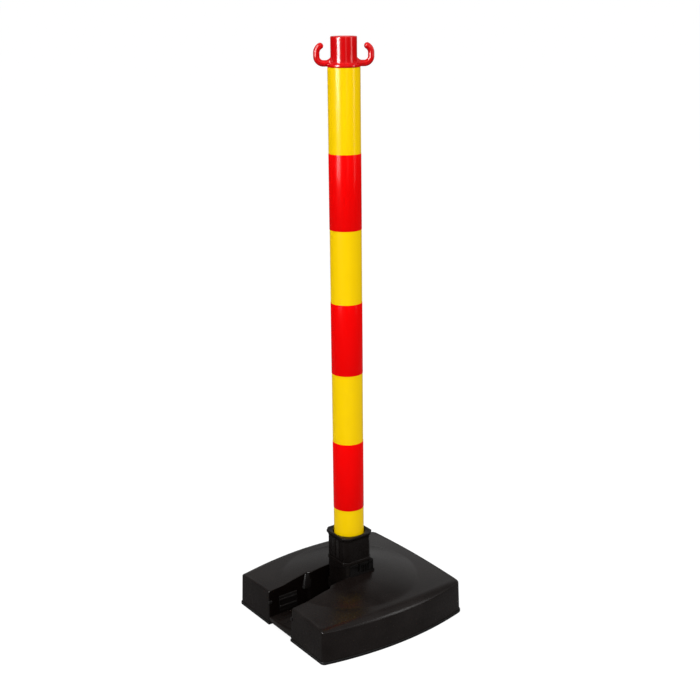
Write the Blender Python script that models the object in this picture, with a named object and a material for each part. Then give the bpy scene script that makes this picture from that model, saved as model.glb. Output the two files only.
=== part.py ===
"""Folding delineator post: a ballasted base with a slot, a hinged foot and collar,
a striped tube and a turning cap with two chain hooks.

Dimensions are in millimetres, measured from the post's axis at ground level:
+Z is up, the hinge axis runs along X and the post folds down toward -Y.
"""
import math

import bmesh
import bpy
from mathutils import Matrix, Vector

MM = 0.001

# Base plan and heights
BASE_FRONT = -142.5
BASE_BACK = 144.5
BASE_HALF_END = 124.0
BASE_BULGE = 19.0
CORNER_FRONT = 6.0
CORNER_REAR = 10.5
CORNER_LEAST = 2.0
WALL_DRAFT = 1.8
SHELL_WALL = 3.0
SHELL_BOTTOM = 4.8
EDGE_FILLET = 3.0
RIDGE_HALF_END = 108.5
RIDGE_BULGE = 13.3
RIDGE_CORNERS = (6.0, 8.0)
SIDE_TOP_MID = 50.0
SIDE_TOP_END = 53.5
DOME_APEX = 78.0
DOME_RADIUS = 450.0
CREASE_RADIUS = 116.0
FIELD_SLOPE = 0.087
SHOULDER_ANGLES = (0.0, 22.5, 45.0, 67.5, 90.0)
DOME_RING_SHARES = (0.8, 0.55, 0.25)

# Slot that receives the folded post
SLOT_WIDE_TOP = 35.0
SLOT_WIDE_BOTTOM = 32.2
SLOT_NARROW = 29.5
SLOT_JOG_FRONT = -66.0
SLOT_JOG_BACK = -59.0
SLOT_BACK = 27.0
SLOT_FLOOR_TOP = 14.0
SLOT_FLOOR_BOTTOM = 6.0
SLOT_WALL = 2.5
UNDERCUT_HALF = 33.0
CUT_FRONT = -160.0
CUT_TOP = 120.0
PAD_Y = (-122.0, -86.0)
PAD_Z = (18.0, 46.0)
BAR_BOTTOMS = (25.5, 38.0)
BAR_HEIGHT = 2.6
MOUTH_TAB_Y = (-142.3, -136.5)
MOUTH_TAB_Z = (38.0, 43.0)
BARB_Z = (46.0, 70.0)
BARB_FOOT = ((36.0, -76.0), (36.0, -57.0), (28.4, -59.5), (28.4, -73.5))
BARB_HEAD = ((36.0, -68.0), (36.0, -57.0), (29.8, -57.8), (34.2, -67.0))

# Hinge housing
EAR_TOP = 96.0
EAR_FRONT = -20.0
EAR_CORNER = 3.5
EAR_RIB_SPOTS = (2.5, 7.5, 12.5)
EAR_RIB_HALF = 0.7
LIP_FOOT = 70.0
LIP_SPANS = ((92.8, EAR_TOP, 33.4, 25.0), (LIP_FOOT, 79.5, 33.6, 28.0))
LATCH_SLITS = ((-5.5, -1.5), (15.6, 17.0))
LATCH_FOOT = 81.0
BACK_WALL_TOP = 94.5
PIVOT_Z = 48.0
PIN_RADIUS = 4.0
PIN_HALF = 39.0
PIN_BOSS_RADIUS = 9.0
PIN_BOSS_END = 36.0

# Tray, ballast and screws
TRAY_LIP = 1.5
TRAY_TOP = 4.5
TRAY_STEP_TOP = 7.5
TRAY_STEP_INSET = 4.2
TRAY_SLOT_HALF = 34.0
BALLAST_INSET = 7.5
BALLAST_BOTTOM = 8.5
BALLAST_TOP = 40.0
BALLAST_DRAFT = 2.5
SCREW_SPOTS = ((98.0, -118.0), (105.0, 3.0), (98.0, 123.0))
SCREW_BOSS_RADIUS = 5.0
SCREW_SHANK = 1.8
SCREW_END = 19.0

# Post
TUBE_RADIUS = 25.0
TUBE_WALL = 2.4
TUBE_BOTTOM = 102.2
TUBE_TOP = 906.1
TUBE_SIDES = 48
BAND_HEIGHT = 117.4
BAND_BOTTOMS = {"lower": 191.1, "middle": 425.8, "upper": 660.5}
BAND_GAP = 0.05
BAND_FILM = 0.3
KNUCKLE_HALF = 29.0
KNUCKLE_FRONT = -24.0
KNUCKLE_HEEL = 26.6
KNUCKLE_TOP = 94.7
SPIGOT_RADIUS = 21.5
SPIGOT_BORE = 16.0
SPIGOT_TOP = 140.0
COLLAR_SCREW_HEIGHTS = (113.0, 131.0)
COLLAR_SCREW_SEAT = 27.7

# Cap
CAP_HEADING = math.radians(54.34)
CAP_FLANGE_BOTTOM = 906.5
CAP_FLANGE_TOP = 911.0
CAP_RADIUS = 20.0
CAP_TOP = 951.0
PLUG_RADIUS = 22.3
PLUG_BOTTOM = 872.0
HOOK_RADIUS = 4.8
HOOK_ARM_Z = 911.8
HOOK_BEND = 10.3
HOOK_REACH = 41.0
HOOK_STRAIGHT = 4.9
HOOK_CROOK = 11.7
HOOK_CROOK_ANGLE = math.radians(60.0)

ROUND_SIDES = 40
SMALL_SIDES = 24


# ---------------------------------------------------------------- mesh helpers
def clear_scene():
    for obj in list(bpy.data.objects):
        bpy.data.objects.remove(obj, do_unlink=True)


def make_object(name, verts, faces):
    """A mesh object from points in millimetres, with its faces turned outward."""
    mesh = bpy.data.meshes.new(name)
    mesh.from_pydata([(x * MM, y * MM, z * MM) for x, y, z in verts], [], faces)
    bm = bmesh.new()
    bm.from_mesh(mesh)
    bmesh.ops.recalc_face_normals(bm, faces=bm.faces)
    bmesh.ops.triangulate(bm, faces=bm.faces, quad_method="SHORT_EDGE")
    bm.to_mesh(mesh)
    bm.free()
    obj = bpy.data.objects.new(name, mesh)
    bpy.context.scene.collection.objects.link(obj)
    return obj


def loft(name, rings, apex=None):
    """Skin equal-length rings from first to last; an apex point may close the last one."""
    count = len(rings[0])
    verts = [p for ring in rings for p in ring]
    faces = []
    for level in range(len(rings) - 1):
        low, high = level * count, (level + 1) * count
        for i in range(count):
            j = (i + 1) % count
            faces.append((low + i, low + j, high + j, high + i))
    faces.append(tuple(reversed(range(count))))
    last = (len(rings) - 1) * count
    if apex is None:
        faces.append(tuple(range(last, last + count)))
    else:
        verts.append(apex)
        tip = len(verts) - 1
        faces += [(last + i, last + (i + 1) % count, tip) for i in range(count)]
    return make_object(name, verts, faces)


def at_height(loop, z):
    return [(x, y, z) for x, y in loop]


def prism(name, loop, z_low, z_high, top_loop=None):
    return loft(name, [at_height(loop, z_low), at_height(top_loop or loop, z_high)])


def box(name, x_range, y_range, z_range):
    (x0, x1), (y0, y1) = sorted(x_range), sorted(y_range)
    return prism(name, [(x0, y0), (x1, y0), (x1, y1), (x0, y1)], *z_range)


def circle(radius, sides, centre=(0.0, 0.0)):
    step = 2.0 * math.pi / sides
    return [(centre[0] + radius * math.cos(i * step), centre[1] + radius * math.sin(i * step))
            for i in range(sides)]


def turned(name, profile, sides, centre=(0.0, 0.0)):
    """A solid turned about a vertical axis from (radius, z) points, lowest first."""
    return loft(name, [at_height(circle(r, sides, centre), z) for r, z in profile])


def turned_ring(name, profile, sides, centre=(0.0, 0.0)):
    """A ring turned from a closed (radius, z) profile."""
    rings = [at_height(circle(r, sides, centre), z) for r, z in profile]
    verts = [p for ring in rings for p in ring]
    faces = []
    for level in range(len(rings)):
        low, high = level * sides, ((level + 1) % len(rings)) * sides
        for i in range(sides):
            j = (i + 1) % sides
            faces.append((low + i, low + j, high + j, high + i))
    return make_object(name, verts, faces)


def lay_along_x(obj):
    """Turn a solid made about Z so that it lies along the hinge axis."""
    obj.data.transform(Matrix.Rotation(math.radians(90.0), 4, "Y"))
    obj.data.transform(Matrix.Translation((0.0, 0.0, PIVOT_Z * MM)))
    return obj


def lay_along_y(obj, z):
    obj.data.transform(Matrix.Rotation(math.radians(-90.0), 4, "X"))
    obj.data.transform(Matrix.Translation((0.0, 0.0, z * MM)))
    return obj


def merged(name, parts):
    """Several separate closed bodies as one object, used as a single cutter."""
    bm = bmesh.new()
    for part in parts:
        bm.from_mesh(part.data)
        bpy.data.objects.remove(part, do_unlink=True)
    mesh = bpy.data.meshes.new(name)
    bm.to_mesh(mesh)
    bm.free()
    obj = bpy.data.objects.new(name, mesh)
    bpy.context.scene.collection.objects.link(obj)
    return obj


def combine(obj, other, operation):
    """Boolean the other object into this one, and keep it only as a wire guide."""
    other.hide_render = True
    other.display_type = "WIRE"
    other.name = "guide_" + other.name
    step = obj.modifiers.new(other.name, "BOOLEAN")
    step.operation = operation
    step.solver = "EXACT"
    step.object = other
    return obj


def cut(obj, other):
    return combine(obj, other, "DIFFERENCE")


def add(obj, other):
    return combine(obj, other, "UNION")


def material(name, colour, roughness, metallic=0.0):
    mat = bpy.data.materials.new(name)
    mat.use_nodes = True
    shader = mat.node_tree.nodes["Principled BSDF"]
    shader.inputs["Base Color"].default_value = (*colour, 1.0)
    shader.inputs["Roughness"].default_value = roughness
    shader.inputs["Metallic"].default_value = metallic
    return mat


def finish(obj, mat, smooth_angle=35.0):
    obj.data.materials.clear()
    obj.data.materials.append(mat)
    obj.data.shade_smooth()
    obj.data.set_sharp_from_angle(angle=math.radians(smooth_angle))
    return obj


# ---------------------------------------------------------------- base outline
def plan_half(inset, half_end, bulge, r_front, r_rear):
    """Right half of the base plan, from the front centre round to the back centre."""
    front, back = BASE_FRONT + inset, BASE_BACK - inset
    middle, reach = (front + back) / 2.0, (back - front) / 2.0

    def side_x(y):
        return half_end + bulge * (1.0 - ((y - middle) / reach) ** 2)

    points = []
    ends = []
    for y_edge, radius, sign in ((front, r_front, 1.0), (back, r_rear, -1.0)):
        lean = math.atan(2.0 * bulge * (reach - radius) / reach ** 2)
        centre_y = y_edge + sign * radius
        join_y = centre_y - sign * radius * math.sin(lean)
        centre_x = side_x(join_y) - radius * math.cos(lean)
        ends.append((centre_x, centre_y, radius, sign, lean, join_y))

    edge_steps, corner_steps, side_steps = 5, 4, 12
    (fx, fy, fr, fs, f_lean, f_join), (bx, by, br, bs, b_lean, b_join) = ends
    points += [(fx * i / edge_steps, front) for i in range(edge_steps)]
    for i in range(corner_steps):
        turn = (math.pi / 2.0 - f_lean) * i / corner_steps
        points.append((fx + fr * math.sin(turn), fy - fs * fr * math.cos(turn)))
    for i in range(side_steps + 1):
        y = f_join + (b_join - f_join) * i / side_steps
        points.append((side_x(y), y))
    for i in range(corner_steps - 1, -1, -1):
        turn = (math.pi / 2.0 - b_lean) * i / corner_steps
        points.append((bx + br * math.sin(turn), by - bs * br * math.cos(turn)))
    points += [(bx * i / edge_steps, back) for i in range(edge_steps - 1, -1, -1)]
    return points


def full_loop(half):
    """Mirror a half outline into a closed loop."""
    return half + [(-x, y) for x, y in reversed(half[1:-1])]


def base_loop(inset):
    return full_loop(plan_half(inset, BASE_HALF_END - inset, BASE_BULGE,
                               max(CORNER_FRONT - inset, CORNER_LEAST),
                               max(CORNER_REAR - inset, CORNER_LEAST)))


def ridge_loop(inset):
    return full_loop(plan_half(inset, RIDGE_HALF_END, RIDGE_BULGE, *RIDGE_CORNERS))


def dome_height(radius):
    return DOME_APEX - (DOME_RADIUS - math.sqrt(DOME_RADIUS ** 2 - radius ** 2))


def field_height(x, y):
    radius = math.hypot(x, y)
    if radius <= CREASE_RADIUS:
        return dome_height(radius)
    return dome_height(CREASE_RADIUS) - FIELD_SLOPE * (radius - CREASE_RADIUS)


def side_share(x, y):
    """1 along the bulged sides, 0 along the straight front and back edges."""
    gap = min(y - BASE_FRONT, BASE_BACK - y)
    return min(max((gap - 3.0) / 9.0, 0.0), 1.0) if abs(x) > RIDGE_HALF_END - 8.0 else 0.0


def wall_top_height(x, y):
    middle = (BASE_FRONT + BASE_BACK) / 2.0
    along = abs(y - middle) / ((BASE_BACK - BASE_FRONT) / 2.0)
    side = SIDE_TOP_MID + (SIDE_TOP_END - SIDE_TOP_MID) * along ** 2
    front = field_height(x, y) - EDGE_FILLET
    share = side_share(x, y)
    return front + (side - front) * share


def shell_rings(inset, drop, bottom):
    """Rings of the moulding's surface, or of its hollow when inset and dropped."""
    foot = base_loop(inset)
    wall = base_loop(WALL_DRAFT + inset)
    ridge = ridge_loop(WALL_DRAFT + EDGE_FILLET + inset * 0.7)
    rings = [at_height(foot, bottom)]
    for angle in SHOULDER_ANGLES:
        across = 1.0 - math.cos(math.radians(angle))
        upward = math.sin(math.radians(angle))
        ring = []
        for (wx, wy), (rx, ry) in zip(wall, ridge):
            low, high = wall_top_height(wx, wy), field_height(rx, ry)
            ring.append((wx + (rx - wx) * across, wy + (ry - wy) * across,
                         low + (high - low) * upward - drop))
        rings.append(ring)
    headings = [math.atan2(y, x) for x, y in ridge]
    halfway = []
    for (rx, ry), heading in zip(ridge, headings):
        x = (rx + CREASE_RADIUS * math.cos(heading)) / 2.0
        y = (ry + CREASE_RADIUS * math.sin(heading)) / 2.0
        halfway.append((x, y, field_height(x, y) - drop))
    rings.append(halfway)
    for radius in [CREASE_RADIUS] + [CREASE_RADIUS * share for share in DOME_RING_SHARES]:
        rings.append([(radius * math.cos(h), radius * math.sin(h), dome_height(radius) - drop)
                      for h in headings])
    return rings


def slot_loop(wide, narrow, front, back):
    return [(-wide, front), (wide, front), (wide, SLOT_JOG_FRONT), (narrow, SLOT_JOG_BACK),
            (narrow, back), (-narrow, back), (-narrow, SLOT_JOG_BACK), (-wide, SLOT_JOG_FRONT)]


# ---------------------------------------------------------------- base pieces
def hollow_cutter():
    """The space inside the base moulding, less the slot walls and screw bosses."""
    hollow = loft("hollow", shell_rings(SHELL_WALL, SHELL_WALL, -2.0),
                  (0.0, 0.0, DOME_APEX - SHELL_WALL))
    wall = SLOT_WALL
    keep = prism("slot_walls",
                 slot_loop(SLOT_WIDE_BOTTOM + wall + 0.8, SLOT_NARROW + wall, CUT_FRONT,
                           SLOT_BACK + wall + 0.5), -4.0, CUT_TOP,
                 slot_loop(SLOT_WIDE_TOP + wall + 4.0, SLOT_NARROW + wall, CUT_FRONT,
                           SLOT_BACK + wall + 0.5))
    cut(hollow, keep)
    cut(hollow, lay_along_x(turned("pin_bosses", [(PIN_BOSS_RADIUS, -PIN_BOSS_END),
                                                  (PIN_BOSS_RADIUS, PIN_BOSS_END)], SMALL_SIDES)))
    pilot = SCREW_SHANK + 0.3
    bosses = [turned_ring("boss", [(pilot, -4.0), (SCREW_BOSS_RADIUS, -4.0),
                                   (SCREW_BOSS_RADIUS, CUT_TOP), (pilot, CUT_TOP)], 12, (side * x, y))
              for side in (-1.0, 1.0) for x, y in SCREW_SPOTS]
    cut(hollow, merged("screw_bosses", bosses))
    hollow.hide_render = True
    return hollow


def slot_details():
    """Guide pads, snap barbs and mouth tabs on the slot walls, and ribs on the ears."""
    parts = []
    for side in (-1.0, 1.0):
        parts.append(box("pad", (side * 32.4, side * 36.0), PAD_Y, PAD_Z))
        parts.append(box("mouth_tab", (side * 31.6, side * 36.5), MOUTH_TAB_Y, MOUTH_TAB_Z))
        foot, head = ([(side * x, y) for x, y in plan] for plan in (BARB_FOOT, BARB_HEAD))
        parts.append(prism("barb", foot, *BARB_Z, head))
        for y in EAR_RIB_SPOTS:
            parts.append(box("ear_rib", (side * 31.5, side * 33.2), (y - EAR_RIB_HALF, y + EAR_RIB_HALF),
                             (LIP_FOOT, 92.0)))
    return merged("details", parts)


def pad_bars():
    return merged("bars", [box("bar", (side * 31.6, side * 33.6), (PAD_Y[0] + 1.0, PAD_Y[1] - 1.0),
                               (z, z + BAR_HEIGHT))
                           for side in (-1.0, 1.0) for z in BAR_BOTTOMS])


def ear_lips():
    """Folded-out lips along the top and foot of each ear."""
    parts = []
    for side in (-1.0, 1.0):
        for z_low, z_high, out, back in LIP_SPANS:
            parts.append(box("lip", (side * 31.0, side * out), (EAR_FRONT + 0.6, back), (z_low, z_high)))
    return merged("lips", parts)


def latch_slits():
    """Slits that free a springy tongue in each ear."""
    parts = []
    for side in (-1.0, 1.0):
        for span in LATCH_SLITS:
            parts.append(box("slit", (side * 28.0, side * 36.0), span, (LATCH_FOOT, 100.0)))
    return merged("latch_slits", parts)


def build_base_shell():
    shell = loft("base_shell", shell_rings(0.0, 0.0, SHELL_BOTTOM), (0.0, 0.0, DOME_APEX))
    outer, rear = SLOT_NARROW + SLOT_WALL, SLOT_BACK + SLOT_WALL
    ears = [(-outer, EAR_FRONT), (outer, EAR_FRONT), (outer, rear - EAR_CORNER), (outer - EAR_CORNER, rear),
            (EAR_CORNER - outer, rear), (-outer, rear - EAR_CORNER)]
    add(shell, prism("ears", ears, 50.0, EAR_TOP))
    add(shell, ear_lips())
    cut(shell, hollow_cutter())
    cut(shell, prism("slot", slot_loop(SLOT_WIDE_BOTTOM, SLOT_NARROW, CUT_FRONT, SLOT_BACK),
                     SLOT_FLOOR_TOP, 62.0,
                     slot_loop(SLOT_WIDE_TOP, SLOT_NARROW, CUT_FRONT, SLOT_BACK)))
    cut(shell, prism("slot_above", slot_loop(SLOT_WIDE_TOP, SLOT_NARROW, CUT_FRONT, SLOT_BACK),
                     61.5, CUT_TOP))
    cut(shell, box("under_floor", (-UNDERCUT_HALF, UNDERCUT_HALF), (CUT_FRONT, SLOT_BACK - 1.0),
                   (-6.0, SLOT_FLOOR_BOTTOM)))
    cut(shell, box("back_wall_top", (-40.0, 40.0), (SLOT_BACK - 2.0, 40.0), (BACK_WALL_TOP, 110.0)))
    add(shell, slot_details())
    add(shell, pad_bars())
    cut(shell, latch_slits())
    cut(shell, lay_along_x(turned("pin_hole", [(PIN_RADIUS + 0.15, -45.0), (PIN_RADIUS + 0.15, 45.0)],
                                  SMALL_SIDES)))
    return shell


def build_bottom_tray():
    tray = loft("bottom_tray", [at_height(base_loop(-TRAY_LIP), 0.0),
                                at_height(base_loop(-TRAY_LIP), TRAY_TOP),
                                at_height(base_loop(TRAY_STEP_INSET), TRAY_TOP),
                                at_height(base_loop(TRAY_STEP_INSET), TRAY_STEP_TOP)])
    cut(tray, box("tray_slot", (-TRAY_SLOT_HALF, TRAY_SLOT_HALF), (CUT_FRONT, 33.0), (-3.0, 12.0)))
    cut(tray, box("tray_wall_gap", (-38.6, 38.6), (CUT_FRONT, 33.0), (TRAY_TOP, 12.0)))
    holes = [turned("hole", [(5.0, -3.0), (5.0, 2.0), (2.2, 4.6), (2.2, 12.0)], 12, (side * x, y))
             for side in (-1.0, 1.0) for x, y in SCREW_SPOTS]
    cut(tray, merged("tray_holes", holes))
    relief = [turned("relief", [(6.0, TRAY_TOP - 0.1), (6.0, 12.0)], 12, (side * x, y))
              for side in (-1.0, 1.0) for x, y in SCREW_SPOTS]
    cut(tray, merged("boss_relief", relief))
    return tray


def build_ballast_block():
    block = prism("ballast_block", base_loop(BALLAST_INSET), BALLAST_BOTTOM, BALLAST_TOP,
                  base_loop(BALLAST_INSET + BALLAST_DRAFT))
    cut(block, box("ballast_slot", (-41.5, 41.5), (CUT_FRONT, 36.0), (0.0, 60.0)))
    holes = [turned("clear", [(7.0, 0.0), (7.0, 60.0)], 12, (side * x, y))
             for side in (-1.0, 1.0) for x, y in SCREW_SPOTS]
    cut(block, merged("boss_clearance", holes))
    return block


def build_tray_screw(index, x, y):
    profile = [(2.4, 0.5), (4.5, 0.8), (4.5, 1.6), (SCREW_SHANK, 4.2), (SCREW_SHANK, 16.5),
               (0.5, SCREW_END)]
    return turned("tray_screw_%d" % index, profile, 12, (x, y))


def build_hinge_pin():
    groove = 3.2
    return lay_along_x(turned("hinge_pin", [(PIN_RADIUS - 0.8, -PIN_HALF), (PIN_RADIUS, -PIN_HALF + 0.8),
                                            (PIN_RADIUS, -37.4), (groove, -37.4), (groove, -36.4),
                                            (PIN_RADIUS, -36.4), (PIN_RADIUS, 36.4), (groove, 36.4),
                                            (groove, 37.4), (PIN_RADIUS, 37.4),
                                            (PIN_RADIUS, PIN_HALF - 0.8),
                                            (PIN_RADIUS - 0.8, PIN_HALF)], SMALL_SIDES))


def build_pin_clip(name, side):
    """Spring washer that sits in the pin's groove."""
    low, high = sorted((side * 36.5, side * 37.3))
    return lay_along_x(turned_ring(name, [(3.4, low), (7.5, low), (7.5, high), (3.4, high)],
                                   SMALL_SIDES))


# ---------------------------------------------------------------- post pieces
def build_pivot_knuckle():
    """Rounded hinge foot with a spigot that stands inside the tube."""
    heel = []
    start = math.acos(KNUCKLE_FRONT / KNUCKLE_HEEL)
    for i in range(19):
        turn = -start + start * i / 18.0
        heel.append((KNUCKLE_HEEL * math.cos(turn), PIVOT_Z + KNUCKLE_HEEL * math.sin(turn)))
    outline = [(KNUCKLE_FRONT, KNUCKLE_TOP)] + heel + [(KNUCKLE_HEEL, KNUCKLE_TOP)]
    half = KNUCKLE_HALF
    knuckle = loft("pivot_knuckle", [[(-half, y, z) for y, z in outline],
                                     [(half, y, z) for y, z in outline]])
    wedges = []
    for side in (-1.0, 1.0):
        for y, inward in ((KNUCKLE_FRONT, 1.0), (KNUCKLE_HEEL, -1.0)):
            wedge = [(side * (half - 5.0), y - inward), (side * (half + 1.0), y - inward),
                     (side * (half + 1.0), y + inward * 5.0)]
            wedges.append(prism("wedge", wedge, 54.0, 100.0))
    cut(knuckle, merged("corner_wedges", wedges))
    add(knuckle, turned("spigot", [(SPIGOT_RADIUS, 88.0), (SPIGOT_RADIUS, SPIGOT_TOP - 1.5),
                                   (SPIGOT_RADIUS - 1.5, SPIGOT_TOP)], ROUND_SIDES))
    cut(knuckle, turned("spigot_bore", [(SPIGOT_BORE, 70.0), (SPIGOT_BORE, SPIGOT_TOP + 5.0)],
                        ROUND_SIDES))
    cut(knuckle, lay_along_x(turned("knuckle_bore", [(PIN_RADIUS + 0.1, -40.0), (PIN_RADIUS + 0.1, 40.0)],
                                    SMALL_SIDES)))
    cut(knuckle, screw_holes("knuckle_screw_holes"))
    return knuckle


def screw_holes(name):
    return merged(name, [lay_along_y(turned("hole", [(2.3, 10.0), (2.3, 40.0)], 12), z)
                         for z in COLLAR_SCREW_HEIGHTS])


def octagon(half_x, half_y, chamfer):
    cx, cy = half_x - chamfer, half_y - chamfer
    return [(cx, -half_y), (half_x, -cy), (half_x, cy), (cx, half_y),
            (-cx, half_y), (-half_x, cy), (-half_x, -cy), (-cx, -half_y)]


def build_socket_collar():
    """Eight-sided sleeve with a foot flange and a flared mouth."""
    levels = [(95.0, 28.7, 28.3, 7.4), (95.6, 29.1, 28.7, 7.4), (100.8, 29.1, 28.7, 7.4),
              (101.4, 28.5, 28.1, 7.1), (101.4, 27.3, 26.7, 6.5), (102.4, 27.3, 26.7, 6.5),
              (102.4, 28.0, 27.4, 6.6), (138.0, 28.0, 27.4, 6.6), (142.6, 30.6, 30.2, 8.3),
              (143.5, 31.0, 30.6, 8.5), (146.1, 31.0, 30.6, 8.5), (146.5, 30.6, 30.2, 8.4)]
    collar = loft("socket_collar", [at_height(octagon(hx, hy, c), z) for z, hx, hy, c in levels])
    strips = [box("strip", (side * 2.2, side * 9.4), (-28.3, -26.8), (104.0, 137.0))
              for side in (-1.0, 1.0)]
    add(collar, merged("front_strips", strips))
    cut(collar, turned("collar_bore", [(22.0, 90.0), (22.0, 101.8), (25.5, 101.8), (25.5, 139.5),
                                       (27.0, 146.0), (27.3, 150.0)], ROUND_SIDES))
    cut(collar, screw_holes("collar_screw_holes"))
    return collar


def build_socket_screw(index, z):
    seat = COLLAR_SCREW_SEAT
    profile = [(1.6, 19.4), (1.9, 20.4), (1.9, seat), (3.6, seat), (3.6, seat + 0.9), (2.4, seat + 2.1)]
    return lay_along_y(turned("socket_screw_%d" % index, profile, 12), z)


def build_post_tube():
    inner = TUBE_RADIUS - TUBE_WALL
    tube = turned_ring("post_tube", [(inner, TUBE_BOTTOM), (TUBE_RADIUS, TUBE_BOTTOM),
                                     (TUBE_RADIUS, TUBE_TOP), (inner, TUBE_TOP)], TUBE_SIDES)
    cut(tube, screw_holes("tube_screw_holes"))
    return tube


def build_band(name, bottom):
    inner = TUBE_RADIUS + BAND_GAP
    outer = inner + BAND_FILM
    top = bottom + BAND_HEIGHT
    return turned_ring("red_band_" + name, [(inner, bottom), (outer, bottom), (outer, top), (inner, top)],
                       TUBE_SIDES)


def hook_path():
    """Centre line of a hook as (distance from the axis, z)."""
    bend_x = HOOK_REACH - HOOK_BEND
    bend_z = HOOK_ARM_Z + HOOK_BEND
    crook_x = HOOK_REACH - HOOK_CROOK
    crook_z = bend_z + HOOK_STRAIGHT
    path = [(12.0, HOOK_ARM_Z), (24.0, HOOK_ARM_Z)]
    for i in range(7):
        turn = -math.pi / 2.0 + math.pi / 2.0 * i / 6.0
        path.append((bend_x + HOOK_BEND * math.cos(turn), bend_z + HOOK_BEND * math.sin(turn)))
    for i in range(7):
        turn = HOOK_CROOK_ANGLE * i / 6.0
        path.append((crook_x + HOOK_CROOK * math.cos(turn), crook_z + HOOK_CROOK * math.sin(turn)))
    return path


def build_hook(sign):
    """Round rod swept along the hook's centre line, with a domed tip."""
    path = hook_path()
    sides = 16
    rings = []
    for i, (x, z) in enumerate(path):
        before, after = path[max(i - 1, 0)], path[min(i + 1, len(path) - 1)]
        along = math.atan2(after[1] - before[1], after[0] - before[0])
        rings.append((x, z, along, HOOK_RADIUS))
    x, z, along, _ = rings[-1]
    for step in (25.0, 50.0, 72.0):
        ahead = HOOK_RADIUS * math.sin(math.radians(step))
        rings.append((x + ahead * math.cos(along), z + ahead * math.sin(along), along,
                      HOOK_RADIUS * math.cos(math.radians(step))))
    solid = []
    for x, z, along, radius in rings:
        ring = []
        for i in range(sides):
            turn = 2.0 * math.pi * i / sides
            side, out = radius * math.cos(turn), radius * math.sin(turn)
            reach = sign * (x - out * math.sin(along))
            ring.append((reach * math.cos(CAP_HEADING) - side * math.sin(CAP_HEADING),
                         reach * math.sin(CAP_HEADING) + side * math.cos(CAP_HEADING),
                         z + out * math.cos(along)))
        solid.append(ring)
    return loft("hook", solid)


def build_hook_cap():
    cap = turned("hook_cap", [(PLUG_RADIUS - 1.0, PLUG_BOTTOM), (PLUG_RADIUS, PLUG_BOTTOM + 1.5),
                              (PLUG_RADIUS, CAP_FLANGE_BOTTOM), (24.9, CAP_FLANGE_BOTTOM),
                              (25.3, CAP_FLANGE_BOTTOM + 0.6), (25.3, CAP_FLANGE_TOP - 0.8),
                              (24.5, CAP_FLANGE_TOP), (21.6, CAP_FLANGE_TOP + 0.4),
                              (20.4, CAP_FLANGE_TOP + 1.6), (CAP_RADIUS, CAP_FLANGE_TOP + 3.4),
                              (CAP_RADIUS, CAP_TOP - 2.2), (CAP_RADIUS - 0.8, CAP_TOP - 0.7),
                              (CAP_RADIUS - 2.4, CAP_TOP)], ROUND_SIDES)
    add(cap, build_hook(1.0))
    add(cap, build_hook(-1.0))
    cut(cap, turned("cap_hollow", [(PLUG_RADIUS - 2.5, PLUG_BOTTOM - 4.0), (PLUG_RADIUS - 2.5, 904.0),
                                   (CAP_RADIUS - 3.0, 910.0), (CAP_RADIUS - 3.0, CAP_TOP - 3.0)],
                    ROUND_SIDES))
    return cap


# ---------------------------------------------------------------- assembly
def axis_empty(name, point, parent=None):
    empty = bpy.data.objects.new(name, None)
    bpy.context.scene.collection.objects.link(empty)
    empty.parent = parent
    empty.location = Vector(point) * MM
    return empty


def attach(obj, empty, origin):
    """Give a piece, and the guides it uses, the empty's origin and frame."""
    pieces = [obj]
    for piece in pieces:
        for step in piece.modifiers:
            if step.type == "BOOLEAN" and step.object not in pieces:
                pieces.append(step.object)
    for piece in pieces:
        piece.data.transform(Matrix.Translation(-Vector(origin) * MM))
        piece.parent = empty


def main():
    clear_scene()
    black = material("black_plastic", (0.022, 0.021, 0.020), 0.42)
    collar_black = material("collar_plastic", (0.016, 0.015, 0.014), 0.34)
    yellow = material("yellow_pvc", (0.98, 0.62, 0.0), 0.30)
    red_film = material("red_film", (0.86, 0.004, 0.004), 0.28)
    red_gloss = material("red_plastic", (0.62, 0.003, 0.005), 0.18)
    concrete = material("concrete", (0.36, 0.35, 0.33), 0.9)
    steel = material("zinc_steel", (0.62, 0.62, 0.60), 0.32, 1.0)

    base_origin, fold_origin = (0.0, 0.0, 0.0), (0.0, 0.0, PIVOT_Z)
    cap_origin = (0.0, 0.0, CAP_FLANGE_BOTTOM)
    frame_shift = (0.0, -(BASE_FRONT + BASE_BACK) / 2.0, 0.0)
    base_frame = axis_empty("base_frame", frame_shift)
    fold_axis = axis_empty("fold_axis", fold_origin, base_frame)
    cap_axis = axis_empty("cap_axis", (0.0, 0.0, CAP_FLANGE_BOTTOM - PIVOT_Z), fold_axis)

    base_pieces = [(build_base_shell(), black), (build_bottom_tray(), black),
                   (build_ballast_block(), concrete), (build_hinge_pin(), steel),
                   (build_pin_clip("pin_clip_left", -1.0), steel),
                   (build_pin_clip("pin_clip_right", 1.0), steel)]
    spots = [(side * x, y) for side in (-1.0, 1.0) for x, y in SCREW_SPOTS]
    for index, (x, y) in enumerate(spots, start=1):
        base_pieces.append((build_tray_screw(index, x, y), steel))

    post_pieces = [(build_pivot_knuckle(), collar_black), (build_socket_collar(), collar_black),
                   (build_post_tube(), yellow)]
    for index, z in enumerate(COLLAR_SCREW_HEIGHTS, start=1):
        post_pieces.append((build_socket_screw(index, z), steel))
    for name, bottom in BAND_BOTTOMS.items():
        post_pieces.append((build_band(name, bottom), red_film))

    for pieces, empty, origin in ((base_pieces, base_frame, base_origin),
                                  (post_pieces, fold_axis, fold_origin),
                                  ([(build_hook_cap(), red_gloss)], cap_axis, cap_origin)):
        for obj, mat in pieces:
            finish(obj, mat)
            attach(obj, empty, origin)


main()
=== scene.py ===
"""Looks for the folding delineator post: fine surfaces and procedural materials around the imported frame.

Lengths are in millimetres, with x and y counted from the post's axis, until the meshes are made in metres.
"""
import math

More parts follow.
